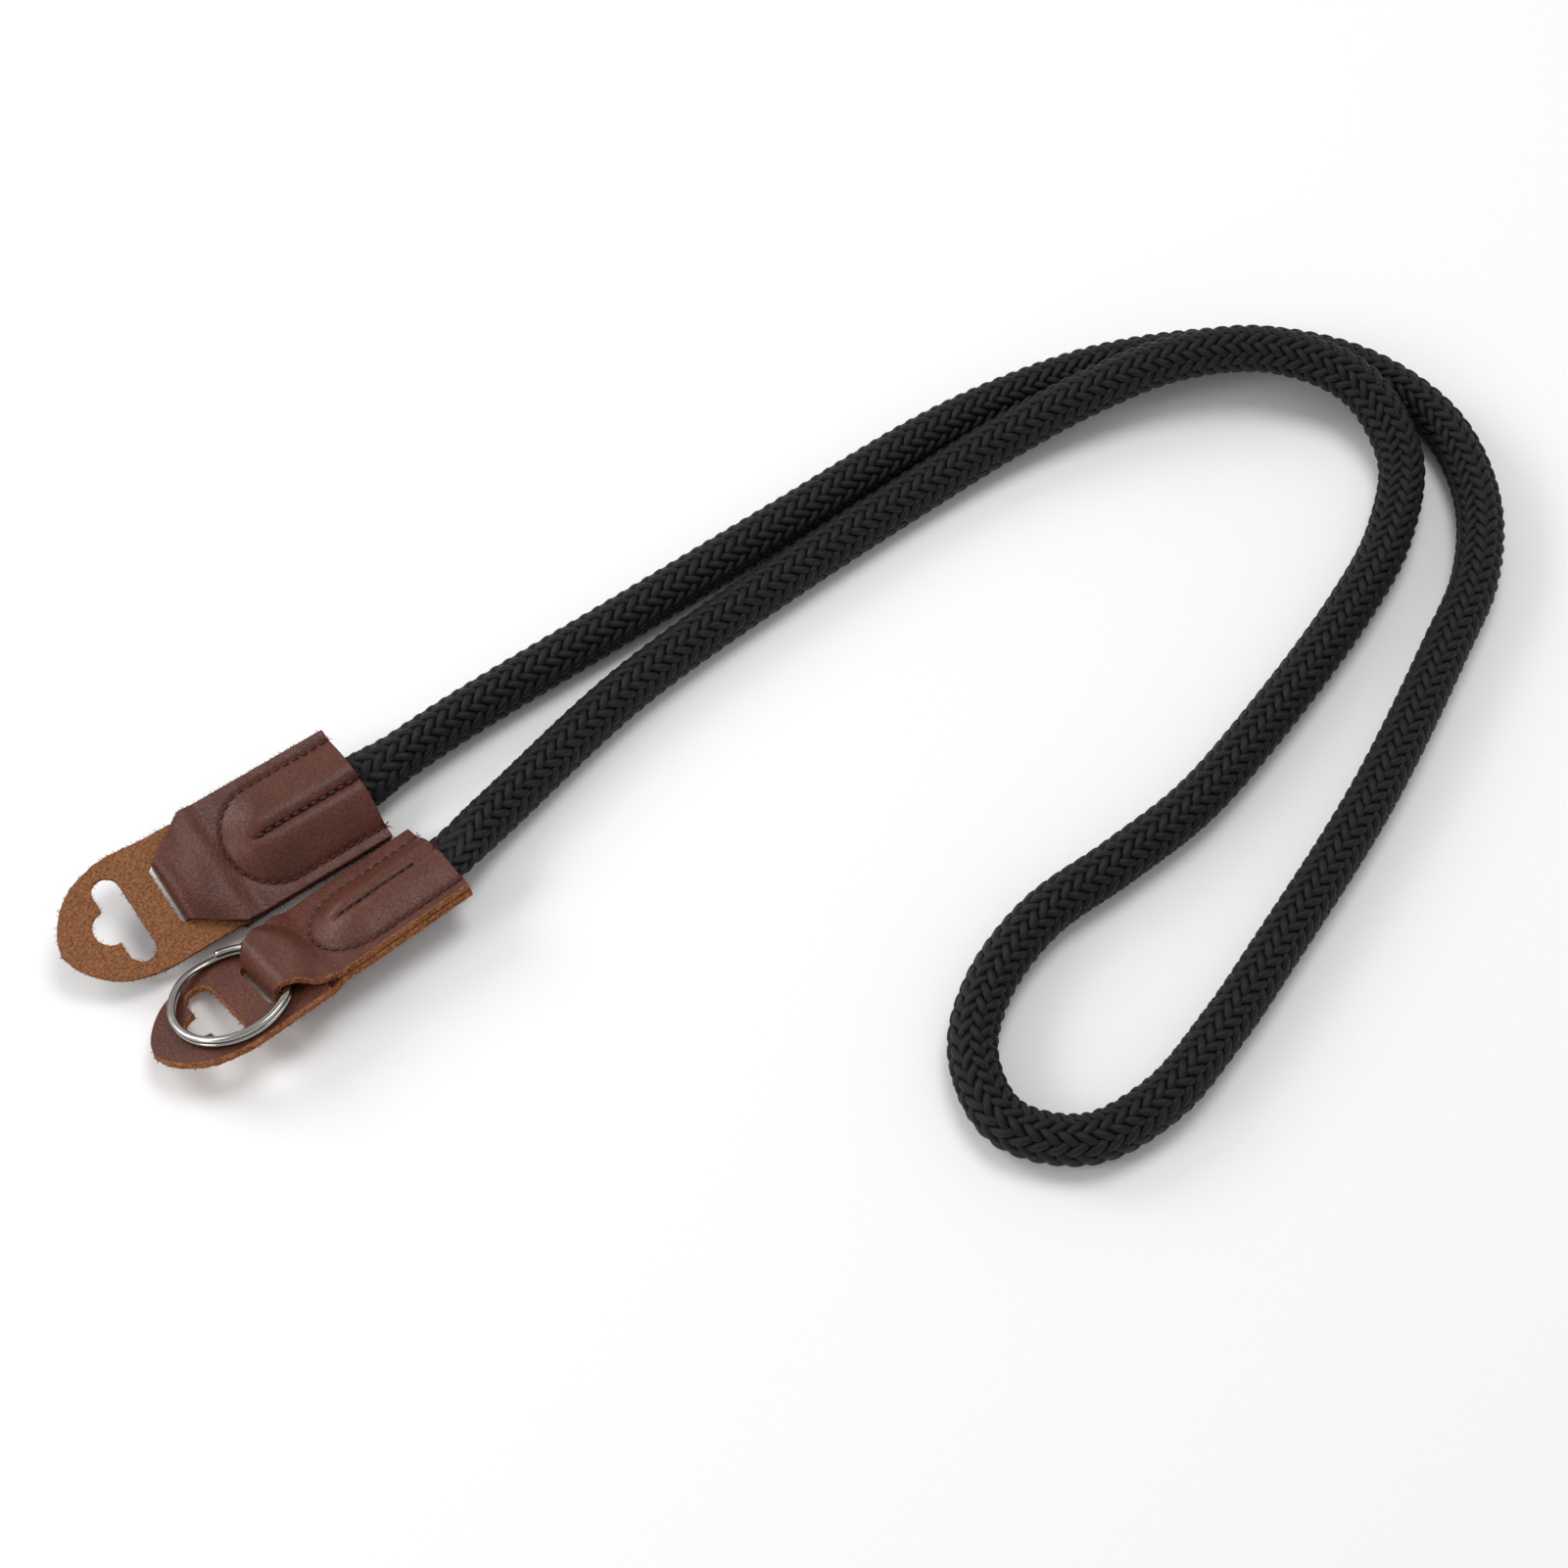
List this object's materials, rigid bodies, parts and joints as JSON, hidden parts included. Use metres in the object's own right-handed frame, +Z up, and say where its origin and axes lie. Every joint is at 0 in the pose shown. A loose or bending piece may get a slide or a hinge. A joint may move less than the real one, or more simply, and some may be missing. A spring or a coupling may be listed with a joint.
{
  "type": "camera neck strap",
  "caption": "Round braided cord camera strap with folded leather ends, keyhole leather flaps and flat split rings, lying in a loose loop.",
  "frame": {"origin": "on the ground, under the middle of the box round the leather ends and their rings", "axes": "+X along the leather ends from their flaps to the rope, +Y across the two ends towards end a, +Z up from the ground the strap lies on"},
  "size_m": [0.3043, 0.1663, 0.0182],
  "materials": {
    "braided_cord": "satin black braid",
    "grain_leather": "fine pebbled grain",
    "flesh_leather": "rough flesh side",
    "ring_steel": "polished"
  },
  "bodies": {
    "root": {"rope": "braided_cord", "leather_tab_a": "grain_leather", "leather_flap_a": "flesh_leather", "split_ring_a": "ring_steel", "leather_tab_b": "grain_leather", "leather_flap_b": "flesh_leather", "split_ring_b": "ring_steel"}
  },
  "joints": []
}
